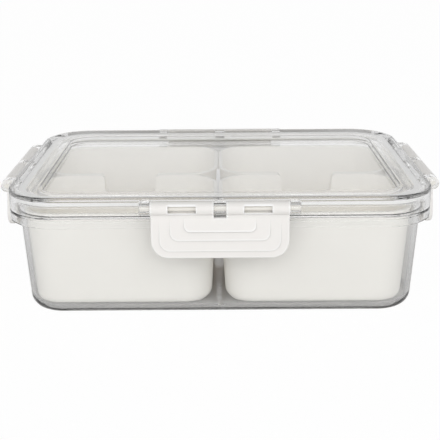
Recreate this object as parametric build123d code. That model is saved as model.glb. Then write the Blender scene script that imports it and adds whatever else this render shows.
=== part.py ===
from build123d import *
import math
import os

os.makedirs("parts", exist_ok=True)

# Divided snack box: a clear tub with a flanged rim, a clear lid with a recessed
# window, a silicone seal, four white snap latches that hang on pins between
# the lid's lugs, and four white bins that stand loose in the tub.
# Frame: +Z up, X along the long side, front at -Y, origin on the floor under
# the middle of the box. Sizes are millimetres and degrees.

# Whole box
box_length = 239.0          # over the lid's skirt, left to right
box_width = 167.0           # over the lid's skirt, front to back
box_height = 72.3           # floor to the crest of the lid's rim
corner_radius = 29.0        # skirt's corner, seen from above
skirt_height = 11.6         # lid's skirt, from the crest to the parting line

# Tub
tub_wall = 2.3
base_thickness = 3.1
wall_draft = 3.2            # lean of the tub's walls
base_edge_radius = 7.8      # round edge under the walls
flange_width = 5.3          # how far the flange stands out of the wall
flange_thickness = 2.1
flange_band_height = 6.1    # the flange's turned-down outer band, from the parting line
flange_band_thickness = 1.8
flange_edge_radius = 0.7
flange_root_radius = 1.2    # round corner under the flange
rim_edge_radius = 0.8
locating_rib_width = 2.2    # low upright rib inside the front and back walls
locating_rib_height = 0.8
ledge_reach = 1.9           # catch ledge, out of the flange's band
ledge_length = 66.0
ledge_edge_radius = 0.4

# Lid
lid_wall = 2.0
parting_gap = 0.15          # skirt above the flange
rim_width = 3.0             # flat crest of the raised rim
rim_slope = 2.7             # width of the slope from the crest to the border
rim_drop = 1.2              # border below the crest
rim_radius = 1.2            # outer edge of the crest
window_border_side = 17.5   # skirt to window, at the left and right
window_border_front = 16.0  # skirt to window, at the front and back
window_radius = 14.0
window_depth = 4.0          # window panel below the border
window_edge_radius = 0.5    # at the panel's foot
window_top_radius = 0.6     # where the border turns down to the panel

# Seal and its groove under the lid's border
seal_width = 6.0
seal_thickness = 2.8
seal_band_thickness = 1.9   # the seal without its bead
seal_bead_width = 3.4
seal_bead_radius = 0.8
seal_gap = 0.1              # bead above the tub's rim
seal_top_gap = 0.06         # seal and the underside of the border
groove_clearance = 0.1
groove_rib_thickness = 1.4
groove_rib_height = 4.3

# Hinges
knuckle_radius = 3.7
knuckle_gap = 0.75          # knuckle and skirt
hinge_drop = 4.6            # axis below the crest
side_gap = 0.3              # knuckle and lug, endwise
outer_lug_width = 5.5
pin_radius = 1.5
pin_fit = 0.01              # pin in a lug, radial
pin_running = 0.06          # pin in a knuckle, radial
pin_recess = 0.3            # pin's end inside the lug's face

# Latches
latch_width = 74.6
latch_length = 27.5         # flap, from the hinge axis to its lower edge
latch_corner_radius = 9.6
latch_edge_radius = 0.8
flap_clearance = 1.7        # flap and catch ledge
flap_thickness = 2.3
flap_lean = 4.0             # flap's lower end stands out, hung from the axis
lip_reach = 0.9             # thumb lip inside the flap's lower edge
lip_height = 3.6
lip_edge_radius = 0.3
notch_width = 6.9           # between the two knuckles
notch_depth = 5.1           # below the hinge axis
window_slot_length = 15.0   # moulding window in each knuckle
window_slot_height = 3.9
terrace_side_insets = (4.6, 10.4, 18.0)
terrace_low_insets = (4.0, 10.0, 15.0)
terrace_radii = (5.8, 4.3, 3.2)
terrace_rises = (0.6, 1.1, 1.6)
terrace_edge_radius = 0.25
terrace_top_drop = 4.6      # terraces run out this far below the axis
dish_width = 11.7           # shallow thumb dish under the notch
dish_depth = 0.35
dish_drop = 3.1             # dish's lower edge below the notch
catch_gap = 0.15            # catch bar's tip and the ledge's edge
catch_drop = 0.3            # catch bar's top below the ledge
catch_height = 2.4
catch_length = 64.0
catch_lead_in = 0.8         # slope under the bar, as a share of its reach
core_pocket_depth = 0.9     # hollow behind the terraces
core_pocket_border = 6.5
core_pocket_drop = 1.2      # pocket's top below the catch bar

# Bins
bin_play = 1.7              # bins' rims and the tub's wall
bins_shift = -1.1           # the loose bins stand a little to the left
bin_spacing = 0.8           # between neighbouring rims
bin_corner_radius = 20.0
bin_wall = 1.5
bin_floor = 1.6
bin_draft = 3.3
bin_edge_radius = 7.0       # round edge under the bin's walls
bin_lip_width = 0.5
bin_lip_height = 1.4
bin_lip_radius = 0.35
bin_rest_gap = 0.1
bin_headroom = 4.3          # rim below the lid's window panel
finger_notch_length = 32.0
finger_notch_depth = 13.0
finger_notch_low_radius = 6.0
finger_notch_top_radius = 3.0

# How far a cutter runs past the face it cuts, and how near a level an edge counts as on it
overrun = 1.0
level_tolerance = 0.01

# Heights worked out from the sizes above
parting_z = box_height - skirt_height
flange_low_z = parting_z - flange_thickness
band_low_z = parting_z - flange_band_height
border_z = box_height - rim_drop
border_low_z = border_z - lid_wall
seal_top_z = border_low_z - seal_top_gap
panel_z = border_z - window_depth
panel_low_z = panel_z - lid_wall
seal_low_z = border_low_z - seal_thickness
tub_rim_z = seal_low_z - seal_gap
hinge_z = box_height - hinge_drop
bin_low_z = base_thickness + bin_rest_gap
bin_rim_z = panel_low_z - bin_headroom

# Distances in from the skirt's face, and out of it
tub_inner_inset = flange_width + tub_wall
seal_middle_inset = flange_width + tub_wall / 2
seal_outer_inset = seal_middle_inset - seal_width / 2
groove_outer_inset = seal_outer_inset - groove_clearance
groove_inner_inset = seal_outer_inset + seal_width + groove_clearance
hinge_reach = knuckle_radius + knuckle_gap
flap_inner_reach = ledge_reach + flap_clearance
flap_outer_reach = flap_inner_reach + flap_thickness
lug_end = latch_width / 2 + side_gap + outer_lug_width

# Bins' outlines over their rims
bins_length = box_length - 2 * (tub_inner_inset + bin_play)
bins_width = box_width - 2 * (tub_inner_inset + bin_play)
bin_length = (bins_length - bin_spacing) / 2
bin_width = (bins_width - bin_spacing) / 2

# Turn about Z from the front side to each side
SIDES = {"front": 0, "right": 90, "back": 180, "left": 270}


def plan(inset):
    """Outline of the box seen from above, moved in from the skirt's face."""
    return RectangleRounded(box_length - 2 * inset, box_width - 2 * inset, corner_radius - inset)


def block(outline, low, high):
    """Upright block on an outline, between two heights."""
    return extrude(Pos(0, 0, low) * outline, high - low)


def tapered(outline, top, low, draft):
    """Block that hangs from its top outline and narrows downwards."""
    top_plane = Plane(origin=(0, 0, top), x_dir=(1, 0, 0), z_dir=(0, 0, -1))
    return extrude(top_plane * outline, top - low, taper=draft)


def lowest_edges(shape):
    return shape.edges().group_by(Axis.Z)[0]


def highest_edges(shape):
    return shape.edges().group_by(Axis.Z)[-1]


def at_side(side):
    """Place of one side's frame: its skirt face in the XZ plane, outwards along -Y."""
    across = box_width if side in ("front", "back") else box_length
    return Rot(0, 0, SIDES[side]) * Pos(0, -across / 2, 0)


def bar(length, reach_low, reach_high, low, high):
    """Bar along a side, between two distances out of the skirt and two heights."""
    size = (length, reach_high - reach_low, high - low)
    middle = (0, -(reach_low + reach_high) / 2, (low + high) / 2)
    return Pos(*middle) * Box(*size)


def rod(radius, length, middle=0):
    """Round rod along the hinge axis of a side."""
    turned = Pos(middle, -hinge_reach, hinge_z) * Rot(0, 90, 0)
    return turned * Cylinder(radius, length)


# Tub


def catch_ledge():
    """Local thickening of the flange's band, which a latch's catch bar goes under."""
    ledge = bar(ledge_length, -flange_band_thickness / 2, ledge_reach, band_low_z, parting_z)
    return fillet(ledge.edges().group_by(Axis.Y)[0], ledge_edge_radius)


def locating_rib():
    """Low upright rib inside a long wall, on the line between the bins."""
    wall_lean = parting_z * math.tan(math.radians(wall_draft))
    reach = -(tub_inner_inset + locating_rib_height)
    return bar(locating_rib_width, reach - wall_lean, reach + tub_wall, base_thickness / 2, flange_low_z)


def make_tub():
    shell = tapered(plan(flange_width), parting_z, 0, wall_draft)
    shell = fillet(lowest_edges(shell), base_edge_radius)
    hollow = tapered(plan(tub_inner_inset), parting_z, base_thickness, wall_draft)
    hollow = fillet(lowest_edges(hollow), base_edge_radius - tub_wall)
    rib_hollow = tapered(plan(tub_inner_inset + locating_rib_height), parting_z, base_thickness, wall_draft)
    rib_hollow = fillet(lowest_edges(rib_hollow), base_edge_radius - tub_wall)
    band = block(plan(0), band_low_z, parting_z) - block(plan(flange_band_thickness), band_low_z, parting_z)
    flange = block(plan(0), flange_low_z, parting_z) + band
    flange = fillet(lowest_edges(flange) + highest_edges(flange), flange_edge_radius)
    rim = block(plan(flange_width), parting_z, tub_rim_z)
    rim = fillet(highest_edges(rim), rim_edge_radius)
    tub = shell + flange
    under_flange = tub.faces().filter_by_position(
        Axis.Z, flange_low_z - level_tolerance, flange_low_z + level_tolerance)[0]
    tub = tub.fillet(flange_root_radius, under_flange.inner_wires()[0].edges())
    tub = tub + rim
    for side in SIDES:
        tub = tub + at_side(side) * catch_ledge()
    tub = tub - hollow - block(plan(tub_inner_inset), parting_z, tub_rim_z)
    ribs = [at_side(side) * locating_rib() for side in ("front", "back")]
    for rib in ribs:
        tub = tub + (rib & (hollow - rib_hollow))
    return tub


# Lid


def window_outline(grow):
    """Outline of the window, grown outwards."""
    length = box_length - 2 * (window_border_side - grow)
    width = box_width - 2 * (window_border_front - grow)
    return RectangleRounded(length, width, window_radius + grow)


def lid_shell():
    """Skirt, raised rim, border and recessed window panel."""
    low = parting_z + parting_gap
    outside = fillet(highest_edges(block(plan(0), low, box_height)), rim_radius)
    slope = math.degrees(math.atan(rim_slope / rim_drop))
    border = tapered(plan(rim_width), box_height, border_z, slope)
    pocket = fillet(lowest_edges(block(window_outline(0), panel_z, border_z)), window_edge_radius)
    hollow = block(plan(lid_wall), low, border_low_z)
    hollow = hollow - block(window_outline(lid_wall), panel_low_z, border_low_z)
    groove_wall = block(plan(0), seal_low_z, border_low_z)
    groove_wall = groove_wall - block(plan(groove_outer_inset), seal_low_z, border_low_z)
    inner = plan(groove_inner_inset + groove_rib_thickness)
    rib_low = border_low_z - groove_rib_height
    rib = block(plan(groove_inner_inset), rib_low, border_low_z) - block(inner, rib_low, border_low_z)
    hollow = hollow - groove_wall - rib
    shell = outside - border - pocket - hollow
    around_window = shell.faces().filter_by_position(
        Axis.Z, border_z - level_tolerance, border_z + level_tolerance)[0]
    return shell.fillet(window_top_radius, around_window.inner_wires()[0].edges())


def lug(width, middle):
    """Round-ended ear on the skirt that carries the hinge pin."""
    low = hinge_z - knuckle_radius
    ear = bar(width, -lid_wall / 2, hinge_reach, low, low + 2 * knuckle_radius)
    return Pos(middle, 0, 0) * ear + rod(knuckle_radius, width, middle)


def make_lid():
    lid = lid_shell()
    outer_middle = lug_end - outer_lug_width / 2
    for side in SIDES:
        place = at_side(side)
        for middle in (-outer_middle, outer_middle):
            lid = lid + place * lug(outer_lug_width, middle)
        lid = lid + place * lug(notch_width - 2 * side_gap, 0)
        lid = lid - place * rod(pin_radius + pin_fit, 2 * (lug_end + overrun))
    return lid


def make_seal():
    """Ring in the lid's groove, with a round bead that presses on the tub's rim."""
    band_low = border_low_z - seal_band_thickness
    band = block(plan(seal_outer_inset), band_low, seal_top_z)
    band = band - block(plan(seal_outer_inset + seal_width), band_low, seal_top_z)
    bead_outer = block(plan(seal_middle_inset - seal_bead_width / 2), seal_low_z, seal_top_z)
    bead_inner = block(plan(seal_middle_inset + seal_bead_width / 2), seal_low_z, seal_top_z)
    bead = fillet(lowest_edges(bead_outer - bead_inner), seal_bead_radius)
    return band + bead


def make_pin():
    return rod(pin_radius, 2 * (lug_end - pin_recess))


# Latch


def flap_outline(side_inset, low_inset, radius, top):
    """Front view of the flap or a terrace: a plate with two round lower corners."""
    low = hinge_z - latch_length + low_inset
    width = latch_width - 2 * side_inset
    plate = Pos(0, (low + top) / 2) * Rectangle(width, top - low)
    return fillet(plate.vertices().group_by(Axis.Y)[0], radius)


def plate_on_side(outline, reach_low, reach_high):
    """Front-view outline made solid between two distances out of the skirt."""
    return extrude(Plane.XZ.offset(reach_low) * outline, reach_high - reach_low)


def terrace(number):
    """One step of the flap's face, which rises outwards towards its lower edge."""
    top = hinge_z - terrace_top_drop
    low = hinge_z - latch_length + terrace_low_insets[number]
    root = flap_inner_reach + flap_thickness / 2
    crest = flap_outer_reach + terrace_rises[number]
    outline = flap_outline(terrace_side_insets[number], terrace_low_insets[number], terrace_radii[number], top)
    column = plate_on_side(outline, root, crest + overrun)
    section = Polyline((-root, low), (-root, top), (-flap_outer_reach, top), (-crest, low), close=True)
    wedge = extrude(Plane.YZ * make_face(section), latch_width / 2, both=True)
    step = column & wedge
    face_edges = [e for e in step.edges()
                  if e.center().Y < -flap_outer_reach and e.center().Z < top - level_tolerance]
    return fillet(face_edges, terrace_edge_radius)


def thumb_dish():
    """Cutter for the shallow dish that leans with the last terrace's face, under the notch."""
    radius = (dish_width ** 2 / 4 + dish_depth ** 2) / (2 * dish_depth)
    slope = terrace_rises[-1] / (latch_length - terrace_low_insets[-1] - terrace_top_drop)
    middle_drop = notch_depth + dish_drop - dish_width / 2
    reach = flap_outer_reach + slope * (middle_drop - terrace_top_drop)
    lean = Rot(-math.degrees(math.atan(slope)), 0, 0)
    ball = Pos(0, -reach, hinge_z - middle_drop) * lean * Pos(0, dish_depth - radius, 0) * Sphere(radius)
    face = bar(dish_width, flap_inner_reach, flap_outer_reach + terrace_rises[-1],
               hinge_z - latch_length, hinge_z - notch_depth)
    return ball & face


def thumb_lip(outline):
    """Lip inside the flap's lower edge, which fingertips pull on."""
    low = hinge_z - latch_length
    inner = flap_inner_reach - lip_reach
    outer = flap_inner_reach + flap_thickness / 2
    lip = plate_on_side(outline, inner, outer) & bar(latch_width, inner, outer, low, low + lip_height)
    return fillet(lip.edges().group_by(Axis.Y)[-1], lip_edge_radius)


def leaned_flap():
    """Flap with its lip, terraces, pocket and dish, made upright and then leaned out about the hinge axis."""
    outline = flap_outline(0, 0, latch_corner_radius, hinge_z)
    flap = plate_on_side(outline, flap_inner_reach, flap_outer_reach)
    flap = fillet(flap.edges().group_by(Axis.Y)[0] - highest_edges(flap), latch_edge_radius)
    flap = flap + thumb_lip(outline)
    for number in range(len(terrace_rises)):
        flap = flap + terrace(number)
    pocket_top = band_low_z - catch_drop - catch_height - core_pocket_drop
    pocket = flap_outline(core_pocket_border, core_pocket_border, terrace_radii[2], pocket_top)
    flap = flap - plate_on_side(pocket, flap_inner_reach, flap_inner_reach + core_pocket_depth)
    hinge_axis = Axis((0, -hinge_reach, hinge_z), (1, 0, 0))
    return (flap - thumb_dish()).rotate(hinge_axis, -flap_lean)


def catch_bar():
    """Bar across the flap's inside that goes under the tub's ledge, with a slope that leads it in."""
    top = band_low_z - catch_drop
    low = top - catch_height
    tip = ledge_reach + catch_gap
    lean_at_bar = (hinge_z - low) * math.tan(math.radians(flap_lean))
    catch = bar(catch_length, tip, flap_inner_reach + flap_thickness / 2 + lean_at_bar, low, top)
    lead_in = lowest_edges(catch).filter_by(Axis.X).sort_by(Axis.Y)[-1]
    return chamfer(lead_in, (flap_inner_reach - tip) * catch_lead_in)


def make_latch():
    latch = leaned_flap() + rod(knuckle_radius, latch_width) + catch_bar()
    past_knuckles = hinge_reach + knuckle_radius + overrun
    notch = bar(notch_width, 0, past_knuckles, hinge_z - notch_depth, hinge_z + knuckle_radius + overrun)
    latch = latch - notch
    slot = bar(window_slot_length, hinge_reach, past_knuckles, hinge_z - window_slot_height / 2,
               hinge_z + window_slot_height / 2)
    knuckle_length = (latch_width - notch_width) / 2
    for middle in (-1, 1):
        latch = latch - Pos(middle * (notch_width + knuckle_length) / 2, 0, 0) * slot
    return latch - rod(pin_radius + pin_running, latch_width + 2 * overrun)


# Bins


def finger_notch():
    """Cutter for the wide notch in the wall that faces the box's middle."""
    low = bin_rim_z - finger_notch_depth
    flare = finger_notch_length + 2 * finger_notch_top_radius
    half = finger_notch_length / 2
    top = bin_rim_z
    radius = finger_notch_top_radius
    slot = Pos(0, (low + top) / 2) * Rectangle(finger_notch_length, top - low)
    slot = fillet(slot.vertices().group_by(Axis.Y)[0], finger_notch_low_radius)
    mouth = Pos(0, top - radius / 2) * Rectangle(flare, radius)
    for side in (-1, 1):
        mouth = mouth - Pos(side * (half + radius), top - radius) * Circle(radius)
    reach = bin_width / 4
    return extrude(Plane.XZ * (slot + mouth), reach, both=True)


def make_bin():
    """One bin about its own middle, with its notch in the wall at +Y."""
    rim = RectangleRounded(bin_length, bin_width, bin_corner_radius)
    wall = RectangleRounded(bin_length - 2 * bin_lip_width, bin_width - 2 * bin_lip_width,
                            bin_corner_radius - bin_lip_width)
    inner_inset = bin_lip_width + bin_wall
    inside = RectangleRounded(bin_length - 2 * inner_inset, bin_width - 2 * inner_inset,
                              bin_corner_radius - inner_inset)
    shell = fillet(lowest_edges(tapered(wall, bin_rim_z, bin_low_z, bin_draft)), bin_edge_radius)
    lip = block(rim, bin_rim_z - bin_lip_height, bin_rim_z)
    lip = fillet(lowest_edges(lip) + highest_edges(lip), bin_lip_radius)
    hollow = tapered(inside, bin_rim_z, bin_low_z + bin_floor, bin_draft)
    hollow = fillet(lowest_edges(hollow), bin_edge_radius - bin_wall)
    body = shell + lip - hollow
    return body - Pos(0, bin_width / 2, 0) * finger_notch()


# Assembly

export_step(make_tub(), "parts/tub.step")
export_step(make_lid(), "parts/lid.step")
export_step(make_seal(), "parts/lid_seal.step")

latch = make_latch()
pin = make_pin()
for side in SIDES:
    export_step(at_side(side) * latch, f"parts/latch_{side}.step")
    export_step(at_side(side) * pin, f"parts/hinge_pin_{side}.step")

front_bin = make_bin()
back_bin = Rot(0, 0, 180) * front_bin
bin_x = (bin_length + bin_spacing) / 2
bin_y = (bin_width + bin_spacing) / 2
for side, direction in (("left", -1), ("right", 1)):
    middle_x = bins_shift + direction * bin_x
    export_step(Pos(middle_x, -bin_y, 0) * front_bin, f"parts/bin_front_{side}.step")
    export_step(Pos(middle_x, bin_y, 0) * back_bin, f"parts/bin_back_{side}.step")
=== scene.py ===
import math
import bpy
from mathutils import Matrix, Vector

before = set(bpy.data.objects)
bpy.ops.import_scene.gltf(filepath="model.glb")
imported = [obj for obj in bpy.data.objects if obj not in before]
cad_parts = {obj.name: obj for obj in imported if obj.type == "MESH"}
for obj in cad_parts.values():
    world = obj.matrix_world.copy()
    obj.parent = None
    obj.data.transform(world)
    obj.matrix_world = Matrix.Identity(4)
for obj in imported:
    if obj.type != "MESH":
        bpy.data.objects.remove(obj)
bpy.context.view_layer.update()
scene = bpy.context.scene
scene.view_settings.view_transform = "Standard"

# Tub and lid. Two mouldings of clear hard plastic, polished where the mould
# was polished, with faint flow waves in their walls and a few fine scuffs.
# The lid lies on the tub's flange.
pure_white = (1, 1, 1, 1)
clear_bend = 1.53             # refractive index
clear_gloss = 0.008           # roughness of an untouched face
clear_scuffing = 0.010        # how much rougher the scuffs are
clear_absorption = 4.0        # per metre of plastic
clear_bounces = 32            # faces that a ray may cross
soft_bounces = 8
see_through = (0.99, 0.99, 0.99, 1)   # light that goes straight through one face
wave_size = 0.030             # metres from crest to crest
wave_height = 0.000001
scuff_length = 0.012
scuff_width = 0.0004
scuff_turns = (0.5, 0.2)      # radians about Z, for scuffs across and along
scuff_from, scuff_to = 0.32, 0.42     # where crossed noise starts to be a scuff
plain_detail = 1.0            # octaves of noise


class Tone:
    """A socket of a material's nodes. Arithmetic adds Math nodes, and make() adds any other node."""

    def __init__(self, tree, socket=None):
        self.tree = tree
        self.socket = socket

    def make(self, kind, settings=None, sockets=None, output=0):
        """Adds a node: its settings first, then values or links for sockets, by name or number."""
        node = self.tree.nodes.new(kind)
        for name, value in (settings or {}).items():
            if name == "stops":
                for element, (place, shade) in zip(stops_of(node, len(value)), value):
                    element.position = place
                    element.color = shade
            else:
                setattr(node, name, value)
        for name, value in (sockets or {}).items():
            self.feed(node.inputs[name], value)
        return Tone(self.tree, node.outputs[output] if len(node.outputs) else None)

    def feed(self, socket, value):
        """Links a Tone to a socket, or sets a plain value on it."""
        if isinstance(value, Tone):
            self.tree.links.new(value.socket, socket)
        else:
            socket.default_value = value

    def maths(self, operation, first, second):
        """Adds a Math node on two values."""
        return self.make("ShaderNodeMath", {"operation": operation}, {0: first, 1: second})

    def __add__(self, other):
        return self.maths("ADD", self, other)

    def __radd__(self, other):
        return self.maths("ADD", other, self)

    def __rsub__(self, other):
        return self.maths("SUBTRACT", other, self)

    def __mul__(self, other):
        return self.maths("MULTIPLY", self, other)

    def __rmul__(self, other):
        return self.maths("MULTIPLY", other, self)


def stops_of(ramp, count):
    """A colour ramp's stops, as many as asked for."""
    elements = ramp.color_ramp.elements
    while len(elements) < count:
        elements.new(1.0)
    return elements


def new_finish(name):
    """A material without nodes, and a Tone to make them with."""
    material = bpy.data.materials.new(name)
    material.use_nodes = True
    material.node_tree.nodes.clear()
    return material, Tone(material.node_tree)


def grain(tone, size, detail=2.0, stretch=(1, 1, 1), turn=0.0):
    """Noise from 0 to 1, its features a size in metres, stretched and turned about Z if asked."""
    place = tone.make("ShaderNodeTexCoord", output="Object")
    place = tone.make("ShaderNodeMapping", None,
                      {"Vector": place, "Rotation": (0, 0, turn), "Scale": stretch})
    return tone.make("ShaderNodeTexNoise", None,
                     {"Vector": place, "Scale": 1 / size, "Detail": detail})


def dress(prefix, material):
    """Gives a material to the nodes whose names start with a prefix."""
    for name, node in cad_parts.items():
        if name.startswith(prefix):
            for slot in node.material_slots:
                slot.material = material


clear, plastic = new_finish("clear_plastic")
thin = scuff_length / scuff_width
scuffs = (grain(plastic, scuff_length, plain_detail, (1, thin, 1), scuff_turns[0])
          * grain(plastic, scuff_length, plain_detail, (thin, 1, 1), scuff_turns[1]))
scuffs = plastic.make("ShaderNodeMapRange", None,
                      {"Value": scuffs, "From Min": scuff_from, "From Max": scuff_to})
flow = grain(plastic, wave_size, plain_detail)
waves = plastic.make("ShaderNodeBump", None, {"Distance": wave_height, "Height": flow})
body = plastic.make("ShaderNodeBsdfPrincipled", None, {
    "Base Color": pure_white, "Roughness": clear_gloss + clear_scuffing * scuffs,
    "Transmission Weight": 1.0, "IOR": clear_bend, "Normal": waves})
through = plastic.make("ShaderNodeBsdfTransparent", None, {"Color": see_through})
for kind in ("Is Shadow Ray", "Is Diffuse Ray"):
    light_path = plastic.make("ShaderNodeLightPath", output=kind)
    body = plastic.make("ShaderNodeMixShader", None, {0: light_path, 1: body, 2: through})
absorption = plastic.make("ShaderNodeVolumeAbsorption", None,
                          {"Color": (0, 0, 0, 1), "Density": clear_absorption})
plastic.make("ShaderNodeOutputMaterial", None, {"Surface": body, "Volume": absorption})
dress("tub", clear)
dress("lid", clear)           # the seal too, until its own section
scene.cycles.max_bounces = clear_bounces
scene.cycles.glossy_bounces = clear_bounces
scene.cycles.transmission_bounces = clear_bounces
scene.cycles.diffuse_bounces = soft_bounces

# Seal. A ring of milky silicone rubber, moulded in one piece and pressed by
# hand into the groove under the lid's border. Its skin is softly matt.
silicone_colour = (0.89, 0.89, 0.88)
silicone_glow = (0.9, 0.9, 0.89, 1)   # the light that one of its faces lets through
cloud_size = 0.02             # metres, the mottling in a moulded colour
cloud_from, cloud_to = 0.35, 0.65
fine_detail = 3.0             # octaves of noise
gloss_spread = 0.1            # how far a grain's roughness goes from low to high
corner_samples = 8
# Colour of the shade painted into inner corners.
painted_shade_colour = (0.5, 0.5, 0.5, 1)


def satin(name, colour, roughness, mottle, grain_size, grain_height, passes=None, painted_edges=None):
    """Moulded plastic or rubber: a mottled colour, a fine grain in its gloss and its skin.

    passes is the share of light that it lets through. The last argument gives the width and
    strength of a highlight painted along each outer edge, and the reach and strength of shade
    painted into each inner corner.
    """
    material, tone = new_finish(name)
    cloud = grain(tone, cloud_size)
    fine = grain(tone, grain_size, fine_detail)
    dark = tuple(channel * (1 - mottle) for channel in colour)
    stops = ((cloud_from, (*dark, 1)), (cloud_to, (*colour, 1)))
    shade = tone.make("ShaderNodeValToRGB", {"stops": stops}, {"Fac": cloud})
    if painted_edges:
        width, painted_highlight, reach, painted_shade = painted_edges
        near = {"samples": corner_samples, "only_local": True}
        # Painted highlight: the colour is paled along outer edges, where light would catch them.
        highlight_mask = tone.make("ShaderNodeAmbientOcclusion", {**near, "inside": True},
                           {"Distance": width}, output="AO")
        # Painted shade: the colour is darkened in inner corners, where less light reaches.
        corner = tone.make("ShaderNodeAmbientOcclusion", near, {"Distance": reach}, output="AO")
        shade = tone.make("ShaderNodeMix", {"data_type": "RGBA"},
                          {0: painted_highlight * (1 - highlight_mask), 6: shade, 7: pure_white}, output=2)
        shade = tone.make("ShaderNodeMix", {"data_type": "RGBA", "blend_type": "MULTIPLY"},
                          {0: painted_shade * (1 - corner), 6: shade, 7: painted_shade_colour}, output=2)
    skin = tone.make("ShaderNodeBump", None, {"Distance": grain_height, "Height": fine})
    shader = tone.make("ShaderNodeBsdfPrincipled", None, {
        "Base Color": shade, "Roughness": roughness - gloss_spread / 2 + gloss_spread * fine,
        "Normal": skin})
    if passes:
        light_path = tone.make("ShaderNodeLightPath", output="Is Shadow Ray")
        through = tone.make("ShaderNodeBsdfTransparent", None, {"Color": passes})
        shader = tone.make("ShaderNodeMixShader", None, {0: light_path, 1: shader, 2: through})
    tone.make("ShaderNodeOutputMaterial", None, {"Surface": shader})
    return material


dress("lid_seal", satin("silicone", silicone_colour, roughness=0.45, mottle=0.03,
                        grain_size=0.0012, grain_height=0.00001, passes=silicone_glow))

# Bins. Four open boxes of off-white plastic, moulded with a satin skin and a
# round lip, which stand loose in the tub with their finger notches together.
bin_colour = (0.9, 0.885, 0.84)
bin_glow = (0.62, 0.52, 0.38, 1)      # the light that one of its faces lets through
dress("bin_", satin("white_bin", bin_colour, roughness=0.45, mottle=0.015,
                    grain_size=0.0007, grain_height=0.000006, passes=bin_glow))

# Hinge pins. Four short rods of unpainted plastic, each pushed endwise through
# three of the lid's lugs and the two knuckles of a latch.
pin_colour = (0.82, 0.8, 0.75)
dress("hinge_pin", satin("pin_plastic", pin_colour, roughness=0.4, mottle=0.03,
                         grain_size=0.001, grain_height=0.000006))

# Latches. Four flaps of warm white plastic with stepped faces, moulded with a
# fine spark grain, which snap under the tub's ledges and turn on the pins.
latch_colour = (0.86, 0.84, 0.815)
# A highlight painted along the latches' outer edges, and shade painted into their inner corners.
edge_width = 0.0012
painted_highlight_strength = 1.8
corner_reach = 0.0025
painted_shade_strength = 0.9
dress("latch_", satin("white_latch", latch_colour, roughness=0.35, mottle=0.015,
                      grain_size=0.0005, grain_height=0.000006,
                      painted_edges=(edge_width, painted_highlight_strength, corner_reach, painted_shade_strength)))

# Floor and room. The box stands on a white sheet that runs on behind it, in an
# even pale room, darker overhead, with one broad soft lamp in front.
sheet_size = 6.0
sheet_drop = 0.0002           # air left between the sheet and the tub
sheet_colour = 0.95
sheet_dimming = 0.33          # how much darker the sheet is through clear plastic
camera_glow = 0.97            # how much of its own white the sheet shows the camera
clear_glow = 0.9              # the same for the far sheet through clear plastic
mirror_glow = 0.15            # and in a mirror image
far_from, far_to = 0.12, 0.36         # metres from the box's middle
room_light = 1.0
room_white = 1.0              # the camera's own view of the room
overhead_dimming = 0.7        # how much darker the room is overhead than round its foot
lamp_width = 3.0
lamp_height = 1.2
lamp_power = 22.0
lamp_place = (0, -1.9, 1.2)

sheet_mesh = bpy.data.meshes.new("white_sheet")
half = sheet_size / 2
corners = [(x * half, y * half, -sheet_drop) for x, y in ((-1, -1), (1, -1), (1, 1), (-1, 1))]
sheet_mesh.from_pydata(corners, [], [(0, 1, 2, 3)])
white_sheet = bpy.data.objects.new("white_sheet", sheet_mesh)
scene.collection.objects.link(white_sheet)
sheet_material, sheet = new_finish("white_sheet")
by_camera = sheet.make("ShaderNodeLightPath", output="Is Camera Ray")
by_mirror = sheet.make("ShaderNodeLightPath", output="Is Glossy Ray")
by_clear = sheet.make("ShaderNodeLightPath", output="Is Transmission Ray")
spot = sheet.make("ShaderNodeTexCoord", output="Object")
far = sheet.make("ShaderNodeVectorMath", {"operation": "LENGTH"}, {0: spot}, output="Value")
far = sheet.make("ShaderNodeMapRange", None,
                 {"Value": far, "From Min": far_from, "From Max": far_to})
shade = sheet_colour - sheet_dimming * by_clear
colour = sheet.make("ShaderNodeCombineColor", None, {"Red": shade, "Green": shade, "Blue": shade})
paper = sheet.make("ShaderNodeBsdfDiffuse", None, {"Color": colour})
glow = sheet.make("ShaderNodeEmission", None, {"Color": pure_white})
seen = (by_camera * camera_glow + by_clear * far * clear_glow
        + by_mirror * mirror_glow * (1 - by_clear))
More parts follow.
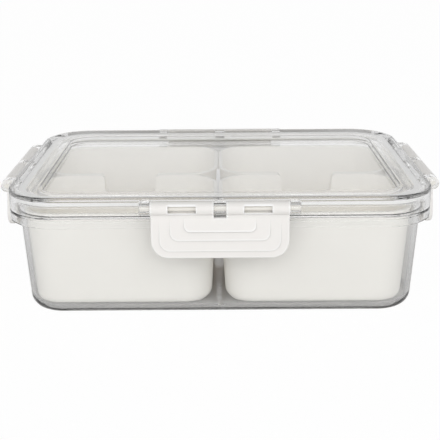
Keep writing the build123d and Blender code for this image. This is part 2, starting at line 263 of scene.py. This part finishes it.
sheet.make("ShaderNodeOutputMaterial", None,
           {"Surface": sheet.make("ShaderNodeMixShader", None, {0: seen, 1: paper, 2: glow})})
sheet_mesh.materials.append(sheet_material)

world = bpy.data.worlds.new("room")
scene.world = world
world.use_nodes = True
world.node_tree.nodes.clear()
room = Tone(world.node_tree)
by_camera = room.make("ShaderNodeLightPath", output="Is Camera Ray")
direction = room.make("ShaderNodeTexCoord", output="Generated")
height = room.make("ShaderNodeSeparateXYZ", None, {"Vector": direction}, output="Z")
height = room.maths("MAXIMUM", height, 0.0)
strength = room_light - room_light * overhead_dimming * height
plain = room.make("ShaderNodeBackground", None, {"Color": pure_white, "Strength": strength})
white = room.make("ShaderNodeBackground", None, {"Color": pure_white, "Strength": room_white})
room.make("ShaderNodeOutputWorld", None,
          {"Surface": room.make("ShaderNodeMixShader", None, {0: by_camera, 1: plain, 2: white})})

lamp = bpy.data.objects.new("soft_light", bpy.data.lights.new("soft_light", "AREA"))
lamp.data.shape = "RECTANGLE"
lamp.data.size = lamp_width
lamp.data.size_y = lamp_height
lamp.data.energy = lamp_power
lamp.visible_glossy = False
aim = (-Vector(lamp_place)).to_track_quat("-Z", "Y").to_matrix().to_4x4()
lamp.matrix_world = Matrix.Translation(lamp_place) @ aim
scene.collection.objects.link(lamp)

# Camera. It stands a little over half a metre in front of the box and looks
# down on it through a short telephoto lens, square to its long side.
camera_place = (0.0005, -0.5352, 0.2108)
camera_pitch = 18.51          # degrees down from level
camera_turn = 0.07
camera_roll = -0.42
camera_lens = 72.0
camera_sensor = 36.0
camera = bpy.data.objects.new("camera", bpy.data.cameras.new("camera"))
camera.data.lens = camera_lens
camera.data.sensor_width = camera_sensor
turn = Matrix.Rotation(math.radians(camera_turn), 4, "Z")
tilt = Matrix.Rotation(math.radians(90 - camera_pitch), 4, "X")
roll = Matrix.Rotation(math.radians(camera_roll), 4, "Z")
camera.matrix_world = Matrix.Translation(camera_place) @ turn @ tilt @ roll
scene.collection.objects.link(camera)
scene.camera = camera
